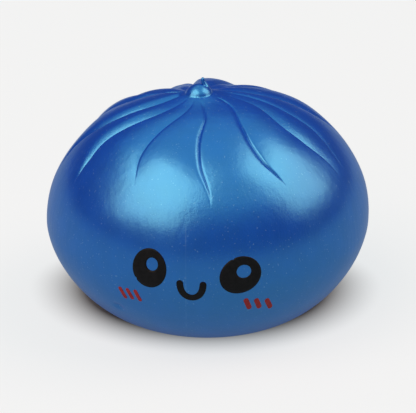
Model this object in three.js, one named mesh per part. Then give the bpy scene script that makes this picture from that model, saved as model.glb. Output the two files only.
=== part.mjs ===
// A squeeze ball moulded like a steamed bun: a soft skin with a pleated crown, a soft filling,
// a plugged filling port underneath and a printed face. Millimetres, +Z up, face towards -Y.
import * as THREE from 'three';

// Driving dimensions of the body
const ballRadius = 42.5;
const baseRadius = 20;
const equatorHeight = 24.8;
const crownHeight = 59.1;
const lowerRoundness = 1.69;
const upperRoundness = 2.13;
const skinThickness = 2.4;
const seamTurn = 109.4;
const seamHalfGap = 0.22;
const gap = 0.3;

// Pleats: where each groove lies, in degrees round from the middle of the front, 14 in all
const grooveAngles = [-110, -84, -66, -37, -5, 27, 63, 84, 106, 128, 151, 174, 198, 224];
const grooveDepth = 1.2;
const grooveEndHeight = 42;
const grooveFullHeight = 50;
const columnsPerPleat = 6;
const swirlAngle = 60;
const swirlReach = 7.5;

// The knob where the pleats are pinched together, and the moulding tail on it
const knobCentre = new THREE.Vector2(-2.4, 0.5);
const knobRadius = 3.1;
const knobRise = 2.1;
const knobReach = 14;
const tailRadius = 0.42;
const tailTip = new THREE.Vector3(-1.6, 1, 63.8);

// Filling port under the ball
const recessRadius = 8;
const recessDepth = 0.9;
const portRadius = 2.75;
const barbRadius = 3.6;
const barbThickness = 1.1;
const sealRadius = 5.6;
const sealThickness = 0.25;

// Printed films stand just off the skin
const filmLift = 0.25;
const filmThickness = 0.25;

const roundSegments = 60;

const blue = 0x0d50ae;
const materials = {
  skin: { color: blue, roughness: 0.38, metalness: 0.35 },
  filling: { color: 0xc9d4de, roughness: 0.6, metalness: 0 },
  plug: { color: 0x0b3f8c, roughness: 0.55, metalness: 0 },
  seal: { color: 0xe6e2d0, roughness: 0.2, metalness: 0 },
  blackInk: { color: 0x0b0d12, roughness: 0.5, metalness: 0 },
  redInk: { color: 0x7a1726, roughness: 0.5, metalness: 0 },
};

const part = new THREE.Group();

function addPiece(name, geometry, look) {
  const mesh = new THREE.Mesh(geometry, new THREE.MeshStandardMaterial(materials[look]));
  mesh.name = name;
  part.add(mesh);
}

// The body's outline is one superellipse under the equator and one over it
function bodyRadius(z) {
  if (z < equatorHeight) {
    const drop = 1 - z / equatorHeight;
    const spread = (1 - drop ** lowerRoundness) ** (1 / lowerRoundness);
    return baseRadius + (ballRadius - baseRadius) * spread;
  }
  const rise = (z - equatorHeight) / (crownHeight - equatorHeight);
  return ballRadius * (1 - rise ** upperRoundness) ** (1 / upperRoundness);
}

// A point of that outline by its turn: 0 at the base's edge, 90 at the equator, 180 on the axis.
// An inset gives the same curve further in, for the cavity and the filling.
function bodyPoint(turn, inset = 0) {
  const angle = THREE.MathUtils.degToRad(turn);
  const away = Math.abs(Math.cos(angle));
  const side = Math.sin(angle);
  if (turn < 90) {
    const spread = (ballRadius - inset - baseRadius) * side ** (2 / lowerRoundness);
    const drop = (equatorHeight - inset) * away ** (2 / lowerRoundness);
    return new THREE.Vector2(baseRadius + spread, equatorHeight - drop);
  }
  const rise = (crownHeight - inset - equatorHeight) * away ** (2 / upperRoundness);
  return new THREE.Vector2((ballRadius - inset) * side ** (2 / upperRoundness), equatorHeight + rise);
}

function outline(fromTurn, toTurn, steps, inset = 0) {
  const points = [];
  for (let i = 0; i <= steps; i += 1) {
    points.push(bodyPoint(fromTurn + (toTurn - fromTurn) * i / steps, inset));
  }
  return points;
}

// Closed solid of revolution about Z from a profile of (radius, height) points
function turned(points, segments = roundSegments) {
  return new THREE.LatheGeometry(points, segments).rotateX(Math.PI / 2);
}

// Closed solid from loops of points, all with the same count. The first loop joins the last,
// or each of the two is capped from its middle.
function solidFromLoops(loops, wrapped) {
  const count = loops[0].length;
  const vertices = loops.flat();
  const triangles = [];
  const joins = wrapped ? loops.length : loops.length - 1;
  for (let i = 0; i < joins; i += 1) {
    const here = i * count;
    const next = ((i + 1) % loops.length) * count;
    for (let j = 0; j < count; j += 1) {
      const k = (j + 1) % count;
      triangles.push(here + j, next + j, next + k, here + j, next + k, here + k);
    }
  }
  if (!wrapped) {
    [[0, 1], [loops.length - 1, -1]].forEach(([index, turn]) => {
      const middle = new THREE.Vector3();
      loops[index].forEach((point) => middle.addScaledVector(point, 1 / count));
      vertices.push(middle);
      for (let j = 0; j < count; j += 1) {
        const a = index * count + j;
        const b = index * count + (j + 1) % count;
        triangles.push(vertices.length - 1, ...(turn > 0 ? [a, b] : [b, a]));
      }
    });
  }
  const geometry = new THREE.BufferGeometry().setFromPoints(vertices);
  geometry.setIndex(triangles);
  geometry.computeVertexNormals();
  return geometry;
}

// Columns of the crown's mesh: one on each groove and the rest spread over the pleat beyond it
function crownColumns() {
  const columns = [];
  grooveAngles.forEach((angle, i) => {
    const wraps = i + 1 === grooveAngles.length;
    const next = wraps ? grooveAngles[0] + 360 : grooveAngles[i + 1];
    for (let step = 0; step < columnsPerPleat; step += 1) {
      const across = step / columnsPerPleat;
      columns.push({ angle: angle + (next - angle) * across, across });
    }
  });
  return columns;
}

function frontAngle(degrees) {
  return THREE.MathUtils.degToRad(degrees - 90);
}

// One loop round the crown. Grooves swirl in towards the knob and fade out above the face.
function crownLoop(radius, height, centre, pleated) {
  const swirl = swirlAngle * Math.exp(-radius / swirlReach);
  const fade = THREE.MathUtils.smoothstep(height, grooveEndHeight, grooveFullHeight);
  const start = THREE.MathUtils.smoothstep(radius, knobRadius, 3 * knobRadius);
  return crownColumns().map(({ angle, across }) => {
    const turn = frontAngle(angle + swirl);
    const groove = pleated ? grooveDepth * fade * start * (1 - Math.sin(Math.PI * across)) ** 3 : 0;
    const slope = radius / ballRadius;
    const reach = radius - groove * slope;
    return new THREE.Vector3(
      centre.x + reach * Math.cos(turn),
      centre.y + reach * Math.sin(turn),
      height - groove * (1 - slope),
    );
  });
}

// The skin's crown: the tail, the knob and the pleats outside, then the smooth cavity inside
function skinCrown() {
  const knobTop = crownHeight + knobRise;
  const tailFoot = new THREE.Vector2(knobCentre.x + 0.7, knobCentre.y + 0.2);
  const loops = [
    crownLoop(0.5 * tailRadius, tailTip.z, tailTip, false),
    crownLoop(tailRadius, tailTip.z - 0.7, tailTip, false),
    crownLoop(1.6 * tailRadius, knobTop, tailFoot, false),
    crownLoop(0.7 * knobRadius, knobTop - 0.15 * knobRise, knobCentre, false),
    crownLoop(knobRadius, knobTop - 0.55 * knobRise, knobCentre, false),
    crownLoop(0.9 * knobRadius, knobTop - knobRise, knobCentre, false),
  ];
  outline(176, seamTurn + seamHalfGap, 13).forEach(({ x, y }) => {
    const pull = 1 - THREE.MathUtils.smoothstep(x, 0, knobReach);
    loops.push(crownLoop(x, y, knobCentre.clone().multiplyScalar(pull), true));
  });
  const axis = new THREE.Vector2();
  outline(seamTurn + seamHalfGap, 177, 7, skinThickness).forEach(({ x, y }) => {
    loops.push(crownLoop(x, y, axis, false));
  });
  return solidFromLoops(loops, false);
}

addPiece('skin_crown', skinCrown(), 'skin');

// The skin's bowl: flat ring to stand on, a recess inside it and the filling port
const bowlTurn = seamTurn - seamHalfGap;
const bowlProfile = [
  new THREE.Vector2(portRadius, recessDepth),
  new THREE.Vector2(recessRadius, recessDepth),
  new THREE.Vector2(recessRadius, 0),
  ...outline(0, bowlTurn, 11),
  ...outline(bowlTurn, 0, 8, skinThickness),
  new THREE.Vector2(portRadius, skinThickness),
  new THREE.Vector2(portRadius, recessDepth),
];
addPiece('skin_bowl', turned(bowlProfile), 'skin');

// Filling: fills the cavity, with a pocket round the plug's barb
const fillInset = skinThickness + gap;
const barbFoot = skinThickness + gap;
const pocketTop = barbFoot + barbThickness + gap;
const pocketRadius = barbRadius + gap;
const fillProfile = [
  new THREE.Vector2(0, pocketTop),
  new THREE.Vector2(pocketRadius, pocketTop),
  new THREE.Vector2(pocketRadius, fillInset),
  ...outline(0, 176, 14, fillInset),
  new THREE.Vector2(0, crownHeight - fillInset),
];
addPiece('filling', turned(fillProfile), 'filling');

// Plug pushed into the port, with a barb behind the skin, and the round of sealant under it
const plugRadius = portRadius - gap;
const plugFoot = recessDepth + 0.1;
const plugProfile = [
  new THREE.Vector2(0, plugFoot),
  new THREE.Vector2(plugRadius, plugFoot),
  new THREE.Vector2(plugRadius, barbFoot),
  new THREE.Vector2(barbRadius, barbFoot),
  new THREE.Vector2(plugRadius, barbFoot + barbThickness),
  new THREE.Vector2(0, barbFoot + barbThickness),
];
addPiece('fill_plug', turned(plugProfile, 24), 'plug');

const sealTop = recessDepth - gap;
const sealProfile = [
  new THREE.Vector2(0, sealTop - sealThickness),
  new THREE.Vector2(sealRadius - 0.15, sealTop - sealThickness),
  new THREE.Vector2(sealRadius, sealTop),
  new THREE.Vector2(0, sealTop),
];
addPiece('plug_seal', turned(sealProfile, 32), 'seal');

// Printed face: every film is laid out in degrees round from the front and height up the ball
function onSkin(degrees, z, lift) {
  const turn = frontAngle(degrees);
  const step = 0.05;
  const lean = (bodyRadius(z - step) - bodyRadius(z + step)) / (2 * step);
  const outward = new THREE.Vector3(Math.cos(turn), Math.sin(turn), lean).normalize();
  const radius = bodyRadius(z);
  return new THREE.Vector3(radius * Math.cos(turn), radius * Math.sin(turn), z)
    .addScaledVector(outward, lift);
}

function millimetresRound(length) {
  return THREE.MathUtils.radToDeg(length / ballRadius);
}

// An eye is an oval with an oval hole in it, where the skin shows through as a glint
function eyeFilm({ degrees, z, wide, high, tilt, glint }) {
  const count = 32;
  const oval = (centreRound, centreUp, halfWide, halfHigh, lean, lift) => {
    const loop = [];
    for (let i = 0; i < count; i += 1) {
      const t = 2 * Math.PI * i / count;
      const across = halfWide * Math.cos(t);
      const up = halfHigh * Math.sin(t);
      const round = centreRound + across * Math.cos(lean) - up * Math.sin(lean);
      const rise = centreUp + across * Math.sin(lean) + up * Math.cos(lean);
      loop.push(onSkin(degrees + millimetresRound(round), z + rise, lift));
    }
    return loop;
  };
  const lean = THREE.MathUtils.degToRad(tilt);
  const rim = [0, 0, wide / 2, high / 2, lean];
  const hole = [glint.round, glint.up, glint.wide / 2, glint.high / 2, 0];
  const between = rim.map((value, i) => (value + hole[i]) / 2);
  const low = filmLift;
  const top = filmLift + filmThickness;
  return solidFromLoops([
    oval(...rim, low), oval(...rim, top), oval(...between, top),
    oval(...hole, top), oval(...hole, low), oval(...between, low),
  ].reverse(), true);
}

addPiece('left_eye_print', eyeFilm({
  degrees: -20.2, z: 28.1, wide: 9, high: 10.4, tilt: -4,
  glint: { round: 0.6, up: 1, wide: 3.3, high: 3.7 },
}), 'blackInk');
addPiece('right_eye_print', eyeFilm({
  degrees: 11.3, z: 27, wide: 11.2, high: 9.6, tilt: 28,
  glint: { round: 0.9, up: 1, wide: 4, high: 3.6 },
}), 'blackInk');

// A pen stroke along a path of [degrees, height] points, with round ends
function strokeFilm(path, width) {
  const curve = new THREE.CatmullRomCurve3(path.map(([degrees, z]) => new THREE.Vector3(degrees, z, 0)));
  const length = curve.getLength();
  const steps = 4 * path.length + 8;
  const loops = [];
  for (let i = 0; i <= steps; i += 1) {
    const share = 0.5 - 0.5 * Math.cos(Math.PI * i / steps);
    const centre = curve.getPointAt(share);
    const tangent = curve.getTangentAt(share);
    const along = new THREE.Vector2(tangent.x / millimetresRound(1), tangent.y).normalize();
    const toEnd = Math.min(share, 1 - share) * length;
    const nearEnd = Math.max(1 - toEnd / (width / 2), 0);
    const half = Math.max(width / 2 * Math.sqrt(1 - nearEnd ** 2), 0.08);
    loops.push([[-1, 0], [-1, 1], [1, 1], [1, 0]].map(([side, layer]) => onSkin(
      centre.x - side * half * along.y * millimetresRound(1),
      centre.y + side * half * along.x,
      filmLift + layer * filmThickness,
    )));
  }
  return solidFromLoops(loops, false);
}

const smile = [];
const smileMiddle = -5.5;
const smileTop = 25;
const smileDrop = 4;
for (let i = 0; i <= 10; i += 1) {
  const t = Math.PI * i / 10;
  const round = -millimetresRound(3.05) * Math.cos(t);
  smile.push([smileMiddle + round, smileTop - 0.02 * round - smileDrop * Math.sin(t) ** 0.8]);
}
addPiece('mouth_print', strokeFilm(smile, 1.75), 'blackInk');

const blushStrokes = {
  left: [[-32, 21, -30.3, 17.6], [-29, 20.8, -27.2, 17.8], [-25.8, 20.6, -24, 17.6]],
  right: [[13.4, 19.6, 15.4, 16.4], [17.1, 19.2, 19, 16.1], [21.2, 18.6, 23.6, 15.4]],
};
Object.entries(blushStrokes).forEach(([side, strokes]) => {
  strokes.forEach(([fromRound, fromZ, toRound, toZ], i) => {
    const path = [[fromRound, fromZ], [(fromRound + toRound) / 2, (fromZ + toZ) / 2], [toRound, toZ]];
    addPiece(`${side}_blush_${i + 1}`, strokeFilm(path, 0.95), 'redInk');
  });
});

export default part;
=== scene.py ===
import math

import bpy
import numpy as np
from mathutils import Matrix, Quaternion, Vector
from mathutils.bvhtree import BVHTree


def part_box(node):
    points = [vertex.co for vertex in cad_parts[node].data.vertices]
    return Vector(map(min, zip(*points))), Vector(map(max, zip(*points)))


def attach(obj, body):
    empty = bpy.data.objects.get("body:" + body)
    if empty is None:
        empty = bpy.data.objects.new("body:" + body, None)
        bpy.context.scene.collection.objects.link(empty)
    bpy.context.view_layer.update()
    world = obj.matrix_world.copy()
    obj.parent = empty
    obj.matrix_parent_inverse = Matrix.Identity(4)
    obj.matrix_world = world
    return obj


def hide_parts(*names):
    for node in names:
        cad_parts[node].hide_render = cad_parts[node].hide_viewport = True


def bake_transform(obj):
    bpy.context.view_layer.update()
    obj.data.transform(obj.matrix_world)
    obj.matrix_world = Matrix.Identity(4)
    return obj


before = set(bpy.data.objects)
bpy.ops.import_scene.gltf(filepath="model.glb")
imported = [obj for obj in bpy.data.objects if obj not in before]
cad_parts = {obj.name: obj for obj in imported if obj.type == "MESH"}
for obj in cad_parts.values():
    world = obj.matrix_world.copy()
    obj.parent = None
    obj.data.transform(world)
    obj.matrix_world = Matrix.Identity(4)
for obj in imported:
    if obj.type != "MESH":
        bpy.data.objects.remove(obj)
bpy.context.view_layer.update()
print("frame loaded")

mm = 0.001
scene = bpy.context.scene
scene.view_settings.view_transform = "Standard"


def frontDirection(degrees):
    # level direction by degrees round from the middle of the front, positive to the right
    turn = np.radians(np.asarray(degrees, float) - 90)
    return np.cos(turn), np.sin(turn)


def lightDirection(degrees, elevation):
    x, y = frontDirection(degrees)
    up = math.radians(elevation)
    return Vector((x * math.cos(up), y * math.cos(up), math.sin(up)))


# the body's outline, from the frame
bowlLow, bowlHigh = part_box("skin_bowl")
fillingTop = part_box("filling")[1].z
body = {
    "radius": (bowlHigh.x - bowlLow.x) / 2,
    "equator": 24.8 * mm,
    "baseRadius": 20 * mm,
    "lowerRoundness": 1.69,
    "upperRoundness": 2.13,
    "wall": 2.4 * mm,
    "gap": 0.3 * mm,  # between the wall and the filling
}
body["crown"] = fillingTop + body["wall"] + body["gap"]


def bodyPoint(turn, inset=0.0):
    # (radius, height) by turn in degrees: 0 at the base's edge, 90 at the equator, 180 on the axis
    side = math.sin(math.radians(turn))
    away = abs(math.cos(math.radians(turn)))
    if turn < 90:
        out = (body["radius"] - inset - body["baseRadius"]) * side ** (2 / body["lowerRoundness"])
        drop = (body["equator"] - inset) * away ** (2 / body["lowerRoundness"])
        return body["baseRadius"] + out, body["equator"] - drop
    rise = (body["crown"] - inset - body["equator"]) * away ** (2 / body["upperRoundness"])
    return (body["radius"] - inset) * side ** (2 / body["upperRoundness"]), body["equator"] + rise


def bodyRadius(z):
    # the outline's radius at a height
    if z < body["equator"]:
        drop = 1 - z / body["equator"]
        power = body["lowerRoundness"]
        return body["baseRadius"] + (body["radius"] - body["baseRadius"]) * (1 - drop**power) ** (1 / power)
    rise = min((z - body["equator"]) / (body["crown"] - body["equator"]), 1)
    power = body["upperRoundness"]
    return body["radius"] * (1 - rise**power) ** (1 / power)


# camera
cameraValues = {
    "elevation": 24,
    "distance": 0.598,
    "lens": 193.8,
    "aimRight": 0.16 * mm,
    "aimUp": 2.43 * mm,
    "near": 0.05,
    "far": 20,
}


def addCamera(values):
    data = bpy.data.cameras.new("camera")
    data.lens = values["lens"]
    data.clip_start = values["near"]
    data.clip_end = values["far"]
    camera = bpy.data.objects.new("camera", data)
    back = lightDirection(0, values["elevation"])
    camera.rotation_mode = "QUATERNION"
    camera.rotation_quaternion = (-back).to_track_quat("-Z", "Y")
    right = Vector((1, 0, 0))
    up = back.cross(right)
    aim = Vector((0, 0, body["equator"])) + right * values["aimRight"] + up * values["aimUp"]
    camera.location = aim + back * values["distance"]
    scene.collection.objects.link(camera)
    scene.camera = camera


addCamera(cameraValues)
print("camera set")


# small helpers for meshes and node trees
def newPiece(name, vertices, faces, material, smooth=True):
    mesh = bpy.data.meshes.new(name)
    mesh.from_pydata([tuple(v) for v in vertices], [], [tuple(f) for f in faces])
    mesh.polygons.foreach_set("use_smooth", [smooth] * len(mesh.polygons))
    mesh.materials.append(material)
    mesh.update()
    piece = bpy.data.objects.new(name, mesh)
    scene.collection.objects.link(piece)
    return piece


def ringFaces(ringCount, columnCount, closed=False):
    # quads between successive rings; closed also joins the last ring to the first
    faces = []
    for i in range(ringCount if closed else ringCount - 1):
        here = i * columnCount
        there = ((i + 1) % ringCount) * columnCount
        for j in range(columnCount):
            k = (j + 1) % columnCount
            faces.append((here + j, there + j, there + k, here + k))
    return faces


def addNode(tree, kind, inputs=None, **settings):
    node = tree.nodes.new(kind)
    for key, value in settings.items():
        setattr(node, key, value)
    for key, value in (inputs or {}).items():
        socket = node.inputs[key]
        if isinstance(value, bpy.types.NodeSocket):
            tree.links.new(value, socket)
        else:
            socket.default_value = value
    return node


def calc(tree, operation, *values, clamp=False):
    inputs = dict(enumerate(values))
    return addNode(tree, "ShaderNodeMath", inputs, operation=operation, use_clamp=clamp).outputs[0]


# materials
def newMaterial(name):
    material = bpy.data.materials.new(name)
    material.use_nodes = True
    return material, material.node_tree, material.node_tree.nodes["Principled BSDF"]


def mixColor(tree, factor, first, second):
    node = addNode(tree, "ShaderNodeMix", data_type="RGBA")
    for index, value in ((0, factor), (6, first), (7, second)):
        if isinstance(value, bpy.types.NodeSocket):
            tree.links.new(value, node.inputs[index])
        else:
            node.inputs[index].default_value = value
    return node.outputs[2]


def noise(tree, place, scale, detail=2.0):
    inputs = {"Vector": place, "Scale": scale, "Detail": detail}
    return addNode(tree, "ShaderNodeTexNoise", inputs).outputs["Fac"]


def addBump(tree, height, distance, onTopOf=None):
    inputs = {"Height": height, "Strength": 1.0, "Distance": distance}
    if onTopOf:
        inputs["Normal"] = onTopOf
    return addNode(tree, "ShaderNodeBump", inputs).outputs["Normal"]


def spread(tree, value, fromLow, fromHigh, low, high):
    # moves a value from one range to another and stops it at both ends
    inputs = {"Value": value, "From Min": fromLow, "From Max": fromHigh, "To Min": low, "To Max": high}
    return addNode(tree, "ShaderNodeMapRange", inputs, clamp=True).outputs["Result"]


colorRange = (0.35, 0.65)  # the part of a noise texture that carries a colour from its dark to its pale
cloudRange = (0.3, 0.7)  # the same for a roughness and for the floor's tone
skinFinish = {
    "blue": (0.0, 0.018, 0.37, 1),
    "deepBlue": (0.0, 0.012, 0.33, 1),
    "speck": (0.22, 0.36, 0.6, 1),
    "glossTint": (0.18, 0.78, 1.0, 1),
    "gloss": 0.84,
    "refraction": 2.2,
    "roughness": 0.3,
    "roughSize": 9 * mm,
    "roughChange": 0.08,
    "mottleSize": 5 * mm,
    "grainSize": 0.55 * mm,
    "grainHeight": 0.02 * mm,
    "dustSize": 0.45 * mm,
    "dustFrom": 0.76,
    "dustTo": 0.82,
    "dustTone": 0.35,
    "streakSize": 1.6 * mm,
    "streakHeight": 0.05 * mm,
    "streakStretch": (1, 1, 0.12),
    "partingLineX": -5.4 * mm,
    "partingLineWidth": 0.22 * mm,
    "partingLineTop": 46 * mm,
    "partingLineTone": 0.2,
}


def makeSkinMaterial(values):
    material, tree, shader = newMaterial("pearl blue skin")
    place = addNode(tree, "ShaderNodeTexCoord").outputs["Object"]
    shade = spread(tree, noise(tree, place, 1 / values["mottleSize"], 4), *colorRange, 0, 1)
    grain = noise(tree, place, 1 / values["grainSize"], 3)
    dust = noise(tree, place, 1 / values["dustSize"], 0)
    dust = spread(tree, dust, values["dustFrom"], values["dustTo"], 0, 1)
    color = mixColor(tree, shade, values["deepBlue"], values["blue"])
    color = mixColor(tree, calc(tree, "MULTIPLY", dust, values["dustTone"]), color, values["speck"])
    broad = calc(tree, "SUBTRACT", noise(tree, place, 1 / values["roughSize"], 1), 0.5)
    rough = calc(tree, "ADD", calc(tree, "MULTIPLY", broad, values["roughChange"]), values["roughness"])
    tree.links.new(rough, shader.inputs["Roughness"])
    # the moulding line down the front
    x, y, z = addNode(tree, "ShaderNodeSeparateXYZ", {0: place}).outputs
    offLine = calc(tree, "ABSOLUTE", calc(tree, "SUBTRACT", x, values["partingLineX"]))
    parting = spread(tree, offLine, 0, values["partingLineWidth"], 1, 0)
    parting = calc(tree, "MULTIPLY", parting, calc(tree, "LESS_THAN", y, 0.0))
    parting = calc(tree, "MULTIPLY", parting, calc(tree, "LESS_THAN", z, values["partingLineTop"]))
    parting = calc(tree, "MULTIPLY", parting, shade)
    parting = calc(tree, "MULTIPLY", parting, values["partingLineTone"])
    color = mixColor(tree, parting, color, values["speck"])
    tree.links.new(color, shader.inputs["Base Color"])
    # fine grain and long upright streaks
    inputs = {0: place, 1: values["streakStretch"]}
    stretched = addNode(tree, "ShaderNodeVectorMath", inputs, operation="MULTIPLY").outputs[0]
    streaks = noise(tree, stretched, 1 / values["streakSize"], 2)
    fine = addBump(tree, grain, values["grainHeight"])
    both = addBump(tree, streaks, values["streakHeight"], fine)
    tree.links.new(both, shader.inputs["Normal"])
    shader.inputs["IOR"].default_value = values["refraction"]
    shader.inputs["Specular IOR Level"].default_value = values["gloss"]
    shader.inputs["Specular Tint"].default_value = values["glossTint"]
    return material


inkFinish = {
    "color": (0.004, 0.004, 0.0045, 1),
    "pale": (0.007, 0.007, 0.008, 1),
    "roughness": 0.5,
    "roughChange": 0.05,
    "size": mm / 0.9,
    "detail": 3,
    "bumpHeight": 0.01 * mm,
    "gloss": 0.12,
}
redFinish = {**inkFinish, "color": (0.28, 0.02, 0.02, 1), "pale": (0.35, 0.03, 0.03, 1)}
fillingFinish = {
    "color": (0.62, 0.68, 0.74, 1),
    "pale": (0.75, 0.79, 0.83, 1),
    "roughness": 0.5,
    "roughChange": 0.06,
    "size": 6 * mm,
    "detail": 5,
    "bumpHeight": 0.05 * mm,
    "gloss": 0.5,
}
plugFinish = {
    **fillingFinish,
    "color": (0.01, 0.06, 0.28, 1),
    "pale": (0.014, 0.08, 0.33, 1),
    "size": 1.5 * mm,
}
sealantFinish = {
    **fillingFinish,
    "color": (0.72, 0.68, 0.56, 1),
    "pale": (0.82, 0.79, 0.7, 1),
    "roughness": 0.22,
    "size": 3 * mm,
}


def makeMottledMaterial(name, values):
    material, tree, shader = newMaterial(name)
    place = addNode(tree, "ShaderNodeTexCoord").outputs["Object"]
    cloud = noise(tree, place, 1 / values["size"], values["detail"])
    shade = spread(tree, cloud, *colorRange, 0, 1)
    tree.links.new(mixColor(tree, shade, values["color"], values["pale"]), shader.inputs["Base Color"])
    smoothest = values["roughness"] - values["roughChange"]
    roughest = values["roughness"] + values["roughChange"]
    tree.links.new(spread(tree, cloud, *cloudRange, smoothest, roughest), shader.inputs["Roughness"])
    shader.inputs["Specular IOR Level"].default_value = values["gloss"]
    tree.links.new(addBump(tree, cloud, values["bumpHeight"]), shader.inputs["Normal"])
    return material


skinMaterial = makeSkinMaterial(skinFinish)
blackInk = makeMottledMaterial("black ink", inkFinish)
redInk = makeMottledMaterial("dark red ink", redFinish)
fillingMaterial = makeMottledMaterial("soft filling", fillingFinish)
plugMaterial = makeMottledMaterial("plug rubber", plugFinish)
sealantMaterial = makeMottledMaterial("cured sealant", sealantFinish)
print("materials made")


# skin: pleats swirl in to a knob; each groove has its own path, depth and walls
pleats = {
    "pathRadii": (6, 12, 20, 28, 36),  # mm out from the knob where each path's angle is given
    "shallowTo": 12,
    "deepFrom": 20,
    "startRadius": 4.2,
    "startLength": 3,
    "fadeLength": 5,
    "taper": 0.75,  # share of their width that the walls lose over the taper length
    "taperLength": 8,
    "wallCurve": 1.7,
    "lobeHeight": 0.45 * mm,
    "lobeRise": (5, 14),
    "lobeFall": (27, 36),
    "fullLobe": 14,  # mm between grooves where a lobe has its whole height
    "unevenness": 0.22 * mm,
    "unevenSize": 17 * mm,
    "evenBelow": 2 * mm,
    "unevenAbove": 12 * mm,
    "seed": 4,
    "columns": 25,  # mesh columns from one groove to the next
}
# path angles, radius where it ends, depth near the knob and further out, widths of its two walls, in mm
grooves = [
    {"path": (-118, -117, -109, -110, -108), "end": 34, "depth": (0.9, 1.0), "walls": (3.4, 0.9)},
    {"path": (-88, -80, -81, -84, -88), "end": 40, "depth": (1.0, 1.1), "walls": (3.1, 0.7)},
    {"path": (-50, -54, -62, -67, -65), "end": 38.5, "depth": (0.08, 0.82), "walls": (3.4, 0.7)},
    {"path": (-24, -31, -36.5, -37, -32), "end": 34, "depth": (0.1, 0.13), "walls": (2.4, 0.6)},
    {"path": (0, -2, -5.5, -4, 1.2), "end": 37, "depth": (0.2, 0.44), "walls": (0.9, 0.7)},
    {"path": (60, 38, 29, 29.2, 35), "end": 35, "depth": (0.2, 0.5), "walls": (1.4, 0.4)},
    {"path": (92, 77, 63, 62, 66), "end": 38, "depth": (0.25, 0.36), "walls": (0.8, 7.5)},
    {"path": (112, 96, 84, 79, 73), "end": 39, "depth": (0.15, 0.1), "walls": (1.8, 1.4)},
    {"path": (132, 116, 108, 103, 104), "end": 37, "depth": (0.25, 0.35), "walls": (1.6, 2.6)},
    {"path": (154, 145, 137, 134, 134), "end": 36, "depth": (0.3, 0.4), "walls": (1.6, 1.6)},
    {"path": (176, 170, 163, 160, 158), "end": 38, "depth": (0.5, 0.8), "walls": (2.6, 2.0)},
    {"path": (200, 196, 191, 189, 190), "end": 34, "depth": (0.5, 0.8), "walls": (1.8, 2.2)},
    {"path": (216, 214, 209, 207, 206), "end": 40, "depth": (0.3, 1.35), "walls": (4.4, 3.4)},
    {"path": (234, 238, 235, 232, 233), "end": 42, "depth": (0.3, 1.15), "walls": (4.4, 2.4)},
]
# broad swells and hollows of the whole body: degrees from the front, height, lift, spread round and up
swells = [
    (96, 33, 0.7, 26, 12),
    (120, 47, 0.6, 22, 8),
    (183, 55, 0.5, 13, 5),
    (-90, 24, 0.3, 30, 10),
    (156, 55, -0.8, 9, 5),
    (-112, 42, -1.2, 16, 9),
    (206, 54, -0.5, 17, 6),
    (236, 46, 0.65, 7, 6),
    (219, 52, -0.95, 7, 7),
    (197, 57, -0.75, 6, 4),
    (-36, 13.4, -0.55, 1.6, 0.9),  # a small dent low on the left cheek
]
# the pinched knob and the moulding tail on it, in mm
knob = {
    "centre": (-2.2, 0.4),
    "reach": 14,  # the rings lean over to the knob inside this radius
    "rise": 1.15,
    "width": 5.0,
    "moundRadius": 3.5,
    "moundHeight": 1.95,
    "moundPower": 0.6,
    "tailFoot": (-0.5, 0.9),
    "tailTip": (-1.2, 1.1, 63.75),
    "tailRadius": 0.72,
    "tailTaper": 0.72,  # the tip's share of the tail's radius
    "tailGrowth": 0.18,
    "tailFlare": 0.3,
    "tailBlend": (0.75, 5),
}


def smoothStep(x, low, high):
    t = np.clip((np.asarray(x, float) - low) / (high - low), 0, 1)
    return t * t * (3 - 2 * t)


def smoothPath(x, knots, values):
    # smooth curve through (knot, value) pairs, level beyond both ends
    x = float(np.clip(x, knots[0], knots[-1]))
    i = int(np.clip(np.searchsorted(knots, x, side="right") - 1, 0, len(knots) - 2))
    slopes = np.gradient(np.array(values, float), np.array(knots, float))
    slopes[-1] = 0
    step = knots[i + 1] - knots[i]
    t = (x - knots[i]) / step
    return (
        (2 * t**3 - 3 * t**2 + 1) * values[i]
        + (t**3 - 2 * t**2 + t) * step * slopes[i]
        + (3 * t**2 - 2 * t**3) * values[i + 1]
        + (t**3 - t**2) * step * slopes[i + 1]
    )


def grooveDepth(groove, radius):
    inner, outer = groove["depth"]
    depth = inner + (outer - inner) * smoothStep(radius, pleats["shallowTo"], pleats["deepFrom"])
    start = smoothStep(radius, pleats["startRadius"], pleats["startRadius"] + pleats["startLength"])
    return depth * start * (1 - smoothStep(radius, groove["end"] - pleats["fadeLength"], groove["end"]))


def grooveTaper(groove, radius):
    # a groove's walls draw in to a point at its outer end
    narrowed = float(smoothStep(radius, groove["end"] - pleats["taperLength"], groove["end"]))
    return 1 - pleats["taper"] * narrowed


def ringCentre(radius):
    # the rings lean over to the knob near the middle, and to the tail's foot on top of it
    pull = 1 - smoothStep(radius, 0, knob["reach"])
    top = 1 - smoothStep(radius, *knob["tailBlend"])
    return [pull * k * (1 - top) + top * f for k, f in zip(knob["centre"], knob["tailFoot"])]


def crownTop(x, y):
    # height in mm of the crown and the knob's mound over a point near the middle
    power = body["upperRoundness"]
    away = np.hypot(x, y) * mm / body["radius"]
    z = (body["equator"] + (body["crown"] - body["equator"]) * (1 - away**power) ** (1 / power)) / mm
    offKnob = np.hypot(x - knob["centre"][0], y - knob["centre"][1])
    z += knob["rise"] * np.exp(-((offKnob / knob["width"]) ** 2))
    mound = np.maximum(1 - (offKnob / knob["moundRadius"]) ** 2, 0) ** knob["moundPower"]
    return z + knob["moundHeight"] * mound


# numbers of rings from the tail's tip to the top of the cavity, and the radii in mm where they change over
ringSteps = {
    "tip": 5,
    "tail": 9,
    "top": 26,
    "topRadii": (1.0, 5),
    "crownFrom": 5.15,
    "crown": 108,
    "outer": 74,
    "inner": 36,
    "lastTurn": 177,
}


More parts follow.
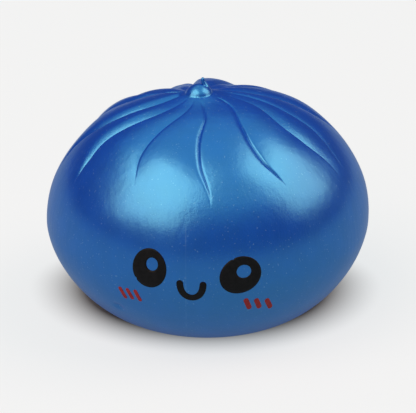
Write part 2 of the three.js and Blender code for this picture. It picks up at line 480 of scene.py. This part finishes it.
def crownRings():
    # (radius, height, centre) in mm from the tail's tip down to the equator
    tipX, tipY, tipZ = knob["tailTip"]
    footX, footY = knob["tailFoot"]
    thick, narrow = knob["tailRadius"], knob["tailTaper"]
    rings = []
    for i in range(ringSteps["tip"]):
        a = math.pi / 2 * (i + 0.6) / ringSteps["tip"]
        rings.append((thick * narrow * math.sin(a), tipZ - thick * (1 - math.cos(a)), (tipX, tipY)))
    foot = float(crownTop(footX, footY))
    for i in range(1, ringSteps["tail"] + 1):
        t = i / ringSteps["tail"]
        z = tipZ - thick + (foot - tipZ + thick) * t
        radius = thick * (narrow + knob["tailGrowth"] * t + knob["tailFlare"] * t**5)
        rings.append((radius, z, (tipX + (footX - tipX) * t, tipY + (footY - tipY) * t)))
    for radius in np.linspace(*ringSteps["topRadii"], ringSteps["top"]):
        rings.append((radius, None, ringCentre(radius)))
    side = ringSteps["crownFrom"] / body["radius"] * mm
    lastTurn = 180 - math.degrees(math.asin(side ** (body["upperRoundness"] / 2)))
    for share in np.linspace(0, 1, ringSteps["crown"]):
        turn = lastTurn + (90 - lastTurn) * share
        radius, z = (value / mm for value in bodyPoint(turn))
        rings.append((radius, z if radius > knob["reach"] else None, ringCentre(radius)))
    return rings


extraRoom = {"depth": 1.6 * mm, "rise": (98, 122), "fall": (162, 174)}


def pleatRoom(turn):
    # the cavity and the filling sit deeper under the pleats
    share = smoothStep(turn, *extraRoom["rise"]) * (1 - smoothStep(turn, *extraRoom["fall"]))
    return extraRoom["depth"] * float(share)


underside = {"recessRadius": 8.0, "portRadius": 2.75}


def underRings():
    # from below the equator round the base, into the recess and port and up the cavity, in mm
    recess, port, wall = underside["recessRadius"], underside["portRadius"], body["wall"] / mm
    turns = [*np.linspace(90, 6, ringSteps["outer"] + 1)[1:], 4.5, 3, 1.5, 0]
    rings = [tuple(v / mm for v in bodyPoint(turn)) for turn in turns]
    rings += [(17, 0), (13, 0), (10, 0), (recess + 0.5, 0), (recess + 0.15, 0.06), (recess, 0.25)]
    rings += [(recess - 0.1, 0.6), (recess - 0.45, 0.86), (recess - 1, 0.9), (port + 1.2, 0.9)]
    rings += [(port + 0.3, 0.9), (port + 0.06, 0.95), (port, 1.1), (port, 1.7), (port, wall - 0.1)]
    rings.append((port + 0.1, wall))
    for turn in np.linspace(0, ringSteps["lastTurn"], ringSteps["inner"]):
        rings.append(tuple(v / mm for v in bodyPoint(turn, body["wall"] + pleatRoom(turn))))
    return [(radius, z, (0, 0)) for radius, z in rings]


def skinColumns(radius):
    # every column's angle at one ring, its share of the way from groove to groove and that way's length
    angles = [smoothPath(radius, pleats["pathRadii"], groove["path"]) for groove in grooves]
    angles.append(angles[0] + 360)
    share = (1 - np.cos(np.pi * np.arange(pleats["columns"]) / pleats["columns"])) / 2
    column = [low + (high - low) * share for low, high in zip(angles, angles[1:])]
    width = np.radians(np.diff(angles)) * radius
    return np.concatenate(column), np.tile(share, len(grooves)), np.repeat(width, len(share))


def bodySwell(angle, z):
    # lift in mm of the broad swells at a ring's points
    total = np.zeros(len(angle))
    for degrees, height, lift, around, upward in swells:
        away = (angle - degrees + 180) % 360 - 180
        total += lift * np.exp(-((away / around) ** 2) - ((z - height) / upward) ** 2)
    return total


def makeSkin():
    crown = crownRings()
    rings = crown + underRings()
    count = len(grooves) * pleats["columns"]
    positions = []
    attributes = {name: [] for name in ("leftGap", "rightGap", "leftDepth", "rightDepth", "lobe", "swell")}

    def perColumn(values, shift=0):
        return np.repeat(values[shift:] + values[:shift], pleats["columns"])

    leftWall = perColumn([groove["walls"][1] for groove in grooves])
    rightWall = perColumn([groove["walls"][0] for groove in grooves], 1)
    for index, (radius, z, centre) in enumerate(rings):
        onCrown = index < len(crown)
        angle, share, width = skinColumns(radius if onCrown else body["radius"] / mm)
        x, y = frontDirection(angle)
        x, y = centre[0] + radius * x, centre[1] + radius * y
        positions.append(np.stack([x, y, np.full(count, z) if z is not None else crownTop(x, y)], 1))
        depth = [grooveDepth(groove, radius) if onCrown else 0 for groove in grooves]
        taper = [grooveTaper(groove, radius) for groove in grooves]
        attributes["leftGap"].append(share * width / (leftWall * perColumn(taper)))
        attributes["rightGap"].append((1 - share) * width / (rightWall * perColumn(taper, 1)))
        attributes["leftDepth"].append(perColumn(depth))
        attributes["rightDepth"].append(perColumn(depth, 1))
        envelope = smoothStep(radius, *pleats["lobeRise"]) * (1 - smoothStep(radius, *pleats["lobeFall"]))
        envelope = envelope * np.minimum(width / pleats["fullLobe"], 1) if onCrown else 0 * width
        attributes["lobe"].append(4 * share * (1 - share) * envelope)
        onOutside = index < len(crown) + ringSteps["outer"]
        attributes["swell"].append(bodySwell(angle, positions[-1][:, 2]) if onOutside else np.zeros(count))
    tailEnd = np.array(knob["tailTip"]) * mm
    cavityTop = (0, 0, body["crown"] - body["wall"])
    vertices = np.vstack([np.concatenate(positions) * mm, tailEnd, cavityTop])
    faces = ringFaces(len(rings), count)
    tip, innerTop = len(vertices) - 2, len(vertices) - 1
    last = (len(rings) - 1) * count
    for j in range(count):
        k = (j + 1) % count
        faces.append((tip, j, k))
        faces.append((innerTop, last + k, last + j))
    skin = newPiece("skin", vertices, faces, skinMaterial)
    for name, rows in attributes.items():
        values = np.concatenate(rows + [[0, 0]])
        skin.data.attributes.new(name, "FLOAT", "POINT").data.foreach_set("value", values.astype(np.float32))
    return skin


def reliefTree():
    # presses the grooves in, swells the lobes between them and makes the whole crown a little uneven
    tree = bpy.data.node_groups.new("pleat relief", "GeometryNodeTree")
    interface = tree.interface
    interface.new_socket("Geometry", in_out="INPUT", socket_type="NodeSocketGeometry")
    for name in ("Groove Depth", "Wall Curve", "Lobe Height", "Unevenness", "Uneven Size", "Even Below",
                 "Uneven Above"):
        interface.new_socket(name, in_out="INPUT", socket_type="NodeSocketFloat")
    interface.new_socket("Seed", in_out="INPUT", socket_type="NodeSocketInt")
    interface.new_socket("Material", in_out="INPUT", socket_type="NodeSocketMaterial")
    interface.new_socket("Geometry", in_out="OUTPUT", socket_type="NodeSocketGeometry")
    given = tree.nodes.new("NodeGroupInput").outputs

    def named(name):
        return addNode(tree, "GeometryNodeInputNamedAttribute", {"Name": name}, data_type="FLOAT").outputs[0]

    walls = []
    for side in ("left", "right"):
        nearness = calc(tree, "SUBTRACT", 1.0, named(side + "Gap"), clamp=True)
        slope = calc(tree, "POWER", nearness, given["Wall Curve"])
        walls.append(calc(tree, "MULTIPLY", slope, named(side + "Depth")))
    groove = calc(tree, "MULTIPLY", calc(tree, "MAXIMUM", *walls), given["Groove Depth"])
    lobe = calc(tree, "MULTIPLY", named("lobe"), given["Lobe Height"])
    position = tree.nodes.new("GeometryNodeInputPosition").outputs[0]
    scaled = calc(tree, "DIVIDE", 1.0, given["Uneven Size"])
    inputs = {"Vector": position, "W": given["Seed"], "Scale": scaled, "Detail": 1.0}
    cloud = addNode(tree, "ShaderNodeTexNoise", inputs, noise_dimensions="4D").outputs["Fac"]
    height = addNode(tree, "ShaderNodeSeparateXYZ", {0: position}).outputs["Z"]
    inputs = {"Value": height, "From Min": given["Even Below"], "From Max": given["Uneven Above"]}
    above = addNode(tree, "ShaderNodeMapRange", inputs, interpolation_type="SMOOTHSTEP").outputs["Result"]
    uneven = calc(tree, "MULTIPLY", calc(tree, "SUBTRACT", cloud, 0.5), given["Unevenness"])
    uneven = calc(tree, "MULTIPLY", uneven, above)
    swell = calc(tree, "MULTIPLY", named("swell"), given["Groove Depth"])
    lift = calc(tree, "ADD", calc(tree, "SUBTRACT", lobe, groove), calc(tree, "ADD", uneven, swell))
    normal = tree.nodes.new("GeometryNodeInputNormal").outputs[0]
    offset = addNode(tree, "ShaderNodeVectorMath", {0: normal, "Scale": lift}, operation="SCALE").outputs[0]
    moved = addNode(tree, "GeometryNodeSetPosition", {"Geometry": given["Geometry"], "Offset": offset})
    real = addNode(tree, "GeometryNodeRealizeInstances", {"Geometry": moved.outputs[0]}).outputs[0]
    inputs = {"Geometry": real, "Material": given["Material"]}
    painted = addNode(tree, "GeometryNodeSetMaterial", inputs).outputs[0]
    addNode(tree, "NodeGroupOutput", {0: painted})
    return tree


def applyTree(piece, tree, values):
    # runs the tree on the piece and keeps the result as a plain mesh
    modifier = piece.modifiers.new("nodes", "NODES")
    modifier.node_group = tree
    for item in tree.interface.items_tree:
        if item.in_out == "INPUT" and item.name in values:
            modifier[item.identifier] = values[item.name]
    evaluated = piece.evaluated_get(bpy.context.evaluated_depsgraph_get())
    mesh = bpy.data.meshes.new_from_object(evaluated)
    piece.modifiers.clear()
    piece.data = mesh


skin = makeSkin()
applyTree(skin, reliefTree(), {
    "Groove Depth": mm,
    "Wall Curve": pleats["wallCurve"],
    "Lobe Height": pleats["lobeHeight"],
    "Unevenness": pleats["unevenness"],
    "Uneven Size": pleats["unevenSize"],
    "Even Below": pleats["evenBelow"],
    "Uneven Above": pleats["unevenAbove"],
    "Seed": pleats["seed"],
    "Material": skinMaterial,
})
print("skin made:", len(skin.data.vertices), "points")


# printed face, laid onto the finished skin: each film's top and foot against it
film = {"top": 0.06 * mm, "foot": -0.04 * mm, "castFrom": 2 * mm}
skinTree = BVHTree.FromPolygons([v.co for v in skin.data.vertices], [p.vertices for p in skin.data.polygons])


def onSkin(degrees, z, lift):
    # a point over the skin at a place round the front and a height in mm
    x, y = frontDirection(degrees)
    radius = bodyRadius(z * mm)
    step = 0.1
    slope = (bodyRadius((z - step) * mm) - bodyRadius((z + step) * mm)) / (2 * step * mm)
    outward = Vector((x, y, slope)).normalized()
    start = Vector((radius * x, radius * y, z * mm)) + outward * film["castFrom"]
    hit = skinTree.ray_cast(start, -outward)[0]
    return hit + outward * lift


def degreesRound(length):
    # degrees round the body that a length in mm takes up
    return math.degrees(length * mm / body["radius"])


# glint: its place from the eye's middle and its size, in mm; nick: where the rim has a tiny gap, in degrees
eyes = {
    "left": {"degrees": -20.1, "z": 28.2, "wide": 9.1, "high": 10.4, "tilt": -4,
             "glint": (0.75, 1.25, 3.1, 3.4), "nick": 222},
    "right": {"degrees": 11.3, "z": 27.1, "wide": 10.9, "high": 9.75, "tilt": 25,
              "glint": (0.85, 1.05, 3.75, 3.45), "nick": 88},
}
nickShape = {"depth": 0.05, "degrees": 3.5}


def makeEye(name, eye):
    count, bands = 144, 6
    turn = np.linspace(0, 2 * np.pi, count, endpoint=False)
    lean = math.radians(eye["tilt"])
    offNick = (np.degrees(turn) - eye["nick"]) / nickShape["degrees"]
    nick = 1 - nickShape["depth"] * np.exp(-(offNick**2))
    across, up = eye["wide"] / 2 * np.cos(turn) * nick, eye["high"] / 2 * np.sin(turn) * nick
    leanAcross = across * math.cos(lean) - up * math.sin(lean)
    leanUp = across * math.sin(lean) + up * math.cos(lean)
    rim = np.stack([leanAcross, leanUp], 1)
    glintRound, glintUp, glintWide, glintHigh = eye["glint"]
    hole = np.stack([glintRound + glintWide / 2 * np.cos(turn), glintUp + glintHigh / 2 * np.sin(turn)], 1)
    shares = np.linspace(0, 1, bands + 1)
    loops = [(share, film["top"]) for share in shares] + [(share, film["foot"]) for share in shares[::-1]]
    points = []
    for share, lift in loops:
        for rimPoint, holePoint in zip(rim, hole):
            place = rimPoint * (1 - share) + holePoint * share
            points.append(onSkin(eye["degrees"] + degreesRound(place[0]), eye["z"] + place[1], lift))
    faces = [face[::-1] for face in ringFaces(len(loops), count, closed=True)]
    return newPiece(name, points, faces, blackInk)


mouth = {
    "middle": -5.4,
    "halfWidth": 2.95,
    "top": 25.9,
    "drop": 4.85,
    "roundness": 0.75,
    "lean": -0.025,
    "width": 1.75,
    "steps": 24,
}
# strokes from (degrees, height) to (degrees, height)
blush = {
    "left": [(-32.1, 21.1, -30.3, 17.6), (-29.1, 21.2, -27.4, 17.9), (-26, 21.3, -24.3, 17.8)],
    "right": [(13.2, 20.2, 15.4, 16.5), (17.0, 19.8, 19.2, 16.3), (21.0, 19.2, 23.7, 15.6)],
    "leftWidth": 1.1,
    "rightWidth": 1.35,
}


def makeStroke(name, path, width, material):
    # a pen stroke with round ends along [degrees, height] points
    path = np.array(path, float)
    flat = path * (1 / degreesRound(1), 1)
    lengths = np.concatenate([[0], np.cumsum(np.linalg.norm(np.diff(flat, axis=0), axis=1))])
    total = lengths[-1]
    steps, across = 48, 6
    reach, thinnest = 0.05, 0.02  # mm: how far to look along the path, and the least half width at its ends
    lifts = [(k / across * 2 - 1, film["top"]) for k in range(across + 1)]
    lifts += [(1 - k / across * 2, film["foot"]) for k in range(across + 1)]

    def pathPoint(s):
        return np.array([np.interp(s, lengths, flat[:, axis]) for axis in (0, 1)])

    loops = []
    for i in range(steps + 1):
        s = total * (1 - math.cos(math.pi * i / steps)) / 2
        step = pathPoint(min(s + reach, total)) - pathPoint(max(s - reach, 0))
        along = step / np.linalg.norm(step)
        side = np.array([-along[1], along[0]])
        near = max(1 - min(s, total - s) / (width / 2), 0)
        half = max(width / 2 * math.sqrt(max(1 - near**2, 0)), thinnest)
        loop = []
        for share, lift in lifts:
            place = pathPoint(s) + side * half * share
            loop.append(onSkin(place[0] * degreesRound(1), place[1], lift))
        loops.append(loop)
    count = len(loops[0])
    points = [point for loop in loops for point in loop]
    faces = ringFaces(len(loops), count)
    faces.append(tuple(range(count))[::-1])
    faces.append(tuple(range((len(loops) - 1) * count, len(loops) * count)))
    faces = [face[::-1] for face in faces]
    return newPiece(name, points, faces, material)


prints = {}
for side, eye in eyes.items():
    prints[side + "_eye_print"] = makeEye(side + "_eye_ink", eye)
smile = []
for i in range(mouth["steps"] + 1):
    t = math.pi * i / mouth["steps"]
    around = -degreesRound(mouth["halfWidth"]) * math.cos(t)
    drop = mouth["drop"] * math.sin(t) ** mouth["roundness"]
    smile.append((mouth["middle"] + around, mouth["top"] + mouth["lean"] * around - drop))
prints["mouth_print"] = makeStroke("mouth_ink", smile, mouth["width"], blackInk)
for side in ("left", "right"):
    for index, (fromRound, fromZ, toRound, toZ) in enumerate(blush[side], 1):
        name = f"{side}_blush_{index}"
        path = [(fromRound, fromZ), (toRound, toZ)]
        prints[name] = makeStroke(name + "_ink", path, blush[side + "Width"], redInk)
print("face printed:", len(prints), "films")


# inside: filling, plug and sealant
def turnedPiece(name, profile, material, segments=96):
    # closed solid of revolution from (radius, height) points in mm that start and end on the axis
    angle = np.linspace(0, 2 * np.pi, segments, endpoint=False)
    points = []
    for radius, z in profile[1:-1]:
        for a in angle:
            points.append((radius * mm * math.cos(a), radius * mm * math.sin(a), z * mm))
    faces = ringFaces(len(profile) - 2, segments)
    first, last = len(points), len(points) + 1
    points += [(0, 0, profile[0][1] * mm), (0, 0, profile[-1][1] * mm)]
    end = (len(profile) - 3) * segments
    for j in range(segments):
        k = (j + 1) % segments
        faces.append((first, j, k))
        faces.append((last, end + k, end + j))
    return newPiece(name, points, faces, material)


fillInset = (body["wall"] + body["gap"]) / mm
pocket = {"radius": 3.9, "top": 4.1}  # room in the filling for the plug's head
fillingProfile = [(0, body["crown"] / mm - fillInset)]
for turn in np.linspace(ringSteps["lastTurn"], 0, ringSteps["inner"]):
    fillingProfile.append(tuple(v / mm for v in bodyPoint(turn, fillInset * mm + pleatRoom(turn))))
fillingProfile += [(pocket["radius"], fillInset), (pocket["radius"], pocket["top"]), (0, pocket["top"])]
filling = turnedPiece("gel_filling", fillingProfile, fillingMaterial)

# a domed head over the wall and a short stem through the port
plugProfile = [(0, 3.8), (1.6, 3.8), (2.2, 3.72), (2.45, 3.6), (3.2, 3.1), (3.55, 2.82), (3.6, 2.74)]
plugProfile += [(3.5, 2.7), (2.6, 2.7), (2.45, 2.65), (2.45, 1.25), (2.38, 1.08), (2.2, 1.0), (0, 1.0)]
plug = turnedPiece("port_plug", plugProfile, plugMaterial, 64)

# a flat round of glue with a soft edge
sealProfile = [(0, 0.6), (5.3, 0.6), (5.55, 0.57), (5.6, 0.5), (5.5, 0.42), (5.0, 0.37), (3, 0.35)]
sealProfile.append((0, 0.35))
seal = turnedPiece("sealant_round", sealProfile, sealantMaterial, 64)
print("inside made")


# floor and light
floorFinish = {
    "color": (0.15, 0.15, 0.15, 1),
    "cloudTone": 0.985,
    "cloudScale": 2.0,
    "roughness": 0.9,
    "glow": 0.736,
    "glowColor": (0.955, 0.980, 1.0, 1),
    "bounce": 0.5,  # share of the glow that lights the toy
    "bounceColor": (0.84, 1.0, 1.12, 1),
    "paintedShadowCentre": (-0.5 * mm, 9.5 * mm, 0),  # middle of the painted contact shadow; the floor's glow fades in outside it
    "paintedShadowInner": 29.1 * mm,
    "paintedShadowOuter": 42.6 * mm,
    "paintedShadowCurve": 1.6,
    "widen": 1.15,
    "backSquash": 0.3,
    "halfSize": 4.0,
}
lights = {
    "left": {"degrees": -54.5, "elevation": 49.5, "distance": 3.0, "wide": 2.75, "high": 2.8,
             "roll": 5, "power": 90},
    "right": {"degrees": 95, "elevation": 43.5, "distance": 3.0, "wide": 2.2, "high": 2.7,
              "roll": -8, "power": 62},
}
lightColors = {"softbox": (1.0, 0.68, 0.59), "room": (0.65, 1.0, 0.92, 1), "backdrop": (1, 1, 1, 1)}


def blendLevel(tree, factor, low, high):
    # low where the factor is 0 and high where it is 1
    return calc(tree, "ADD", calc(tree, "MULTIPLY", calc(tree, "SUBTRACT", 1.0, factor), low),
                calc(tree, "MULTIPLY", factor, high))


def addFloor(values):
    material, tree, shader = newMaterial("pale floor")
    place = addNode(tree, "ShaderNodeTexCoord").outputs["Object"]
    cloud = spread(tree, noise(tree, place, values["cloudScale"]), *cloudRange, 0, 1)
    darker = tuple(values["cloudTone"] * c for c in values["color"][:3]) + (1,)
    tone = mixColor(tree, cloud, values["color"], darker)
    tree.links.new(tone, shader.inputs["Base Color"])
    # the floor glows, and the glow is cut away round the toy's base in a painted contact shadow, widened to
    # the sides and drawn in behind
    inputs = {0: place, 1: values["paintedShadowCentre"]}
    offset = addNode(tree, "ShaderNodeVectorMath", inputs, operation="SUBTRACT").outputs[0]
    x, y = addNode(tree, "ShaderNodeSeparateXYZ", {0: offset}).outputs[:2]
    x = calc(tree, "DIVIDE", x, values["widen"])
    behind = calc(tree, "MULTIPLY", calc(tree, "MAXIMUM", y, 0.0), values["backSquash"])
    y = calc(tree, "ADD", y, behind)
    squares = calc(tree, "ADD", calc(tree, "MULTIPLY", x, x), calc(tree, "MULTIPLY", y, y))
    away = calc(tree, "SQRT", squares)
    # painted shadow: full inside the inner radius, gone beyond the outer one
    dark = spread(tree, away, values["paintedShadowInner"], values["paintedShadowOuter"], 1, 0)
    glow = calc(tree, "SUBTRACT", 1.0, calc(tree, "POWER", dark, values["paintedShadowCurve"]))
    seen = addNode(tree, "ShaderNodeLightPath").outputs["Is Camera Ray"]
    level = blendLevel(tree, seen, values["glow"] * values["bounce"], values["glow"])
    tree.links.new(calc(tree, "MULTIPLY", glow, level), shader.inputs["Emission Strength"])
    glowColor = mixColor(tree, seen, values["bounceColor"], values["glowColor"])
    tree.links.new(glowColor, shader.inputs["Emission Color"])
    shader.inputs["Roughness"].default_value = values["roughness"]
    shader.inputs["Specular IOR Level"].default_value = 0
    half = values["halfSize"]
    corners = [(-half, -half, 0), (half, -half, 0), (half, half, 0), (-half, half, 0)]
    floor = newPiece("floor", corners, [(0, 1, 2, 3)], material, smooth=False)


def addLight(name, values):
    data = bpy.data.lights.new(name, "AREA")
    data.shape = "RECTANGLE"
    data.size, data.size_y = values["wide"], values["high"]
    data.energy = values["power"]
    data.color = lightColors["softbox"]
    light = bpy.data.objects.new(name, data)
    direction = lightDirection(values["degrees"], values["elevation"])
    light.location = Vector((0, 0, body["equator"])) + direction * values["distance"]
    light.rotation_mode = "QUATERNION"
    roll = Quaternion((0, 0, 1), math.radians(values["roll"]))
    light.rotation_quaternion = direction.to_track_quat("Z", "Y") @ roll
    scene.collection.objects.link(light)


roomLight = {
    "ceiling": 0.82,
    "ceilingFrom": 0.5,  # how steeply up, from 0 level to 1 overhead, the ceiling begins and is whole
    "ceilingTo": 0.85,
    "front": 0.23,
    "back": 0.14,
    "left": 0.17,
    "right": 0.12,
    "backdrop": 0.896,
}


def addRoomLight(values):
    # the room's brightness overhead, in front, behind and at either side, blended by direction
    world = bpy.data.worlds.new("studio")
    scene.world = world
    world.use_nodes = True
    tree = world.node_tree
    direction = addNode(tree, "ShaderNodeTexCoord").outputs["Generated"]
    x, y, z = addNode(tree, "ShaderNodeSeparateXYZ", {0: direction}).outputs
    level = calc(tree, "ADD", calc(tree, "MULTIPLY", x, x), calc(tree, "MULTIPLY", y, y))
    total = 0.0
    for axis, sign, name in ((y, -1.0, "front"), (y, 1.0, "back"), (x, -1.0, "left"), (x, 1.0, "right")):
        ahead = calc(tree, "MAXIMUM", calc(tree, "MULTIPLY", axis, sign), 0.0)
        share = calc(tree, "DIVIDE", calc(tree, "MULTIPLY", ahead, ahead), level)
        total = calc(tree, "ADD", total, calc(tree, "MULTIPLY", share, values[name]))
    inputs = {"Value": z, "From Min": values["ceilingFrom"], "From Max": values["ceilingTo"]}
    overhead = addNode(tree, "ShaderNodeMapRange", inputs, interpolation_type="SMOOTHSTEP").outputs["Result"]
    bright = blendLevel(tree, overhead, total, values["ceiling"])
    seen = addNode(tree, "ShaderNodeLightPath").outputs["Is Camera Ray"]
    bright = blendLevel(tree, seen, bright, values["backdrop"])
    backdrop = tree.nodes["Background"]
    tree.links.new(bright, backdrop.inputs["Strength"])
    color = mixColor(tree, seen, lightColors["room"], lightColors["backdrop"])
    tree.links.new(color, backdrop.inputs["Color"])


addFloor(floorFinish)
for name, values in lights.items():
    addLight(name + " softbox", values)
addRoomLight(roomLight)
print("floor and lights set")


# what rides on what
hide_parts("skin_crown", "skin_bowl")
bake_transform(skin)
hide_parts("filling")
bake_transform(filling)
for node, piece in prints.items():
    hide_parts(node)
    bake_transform(piece)
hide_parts("fill_plug")
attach(plug, "base")
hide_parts("plug_seal")
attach(seal, "base")
print("pieces ride")
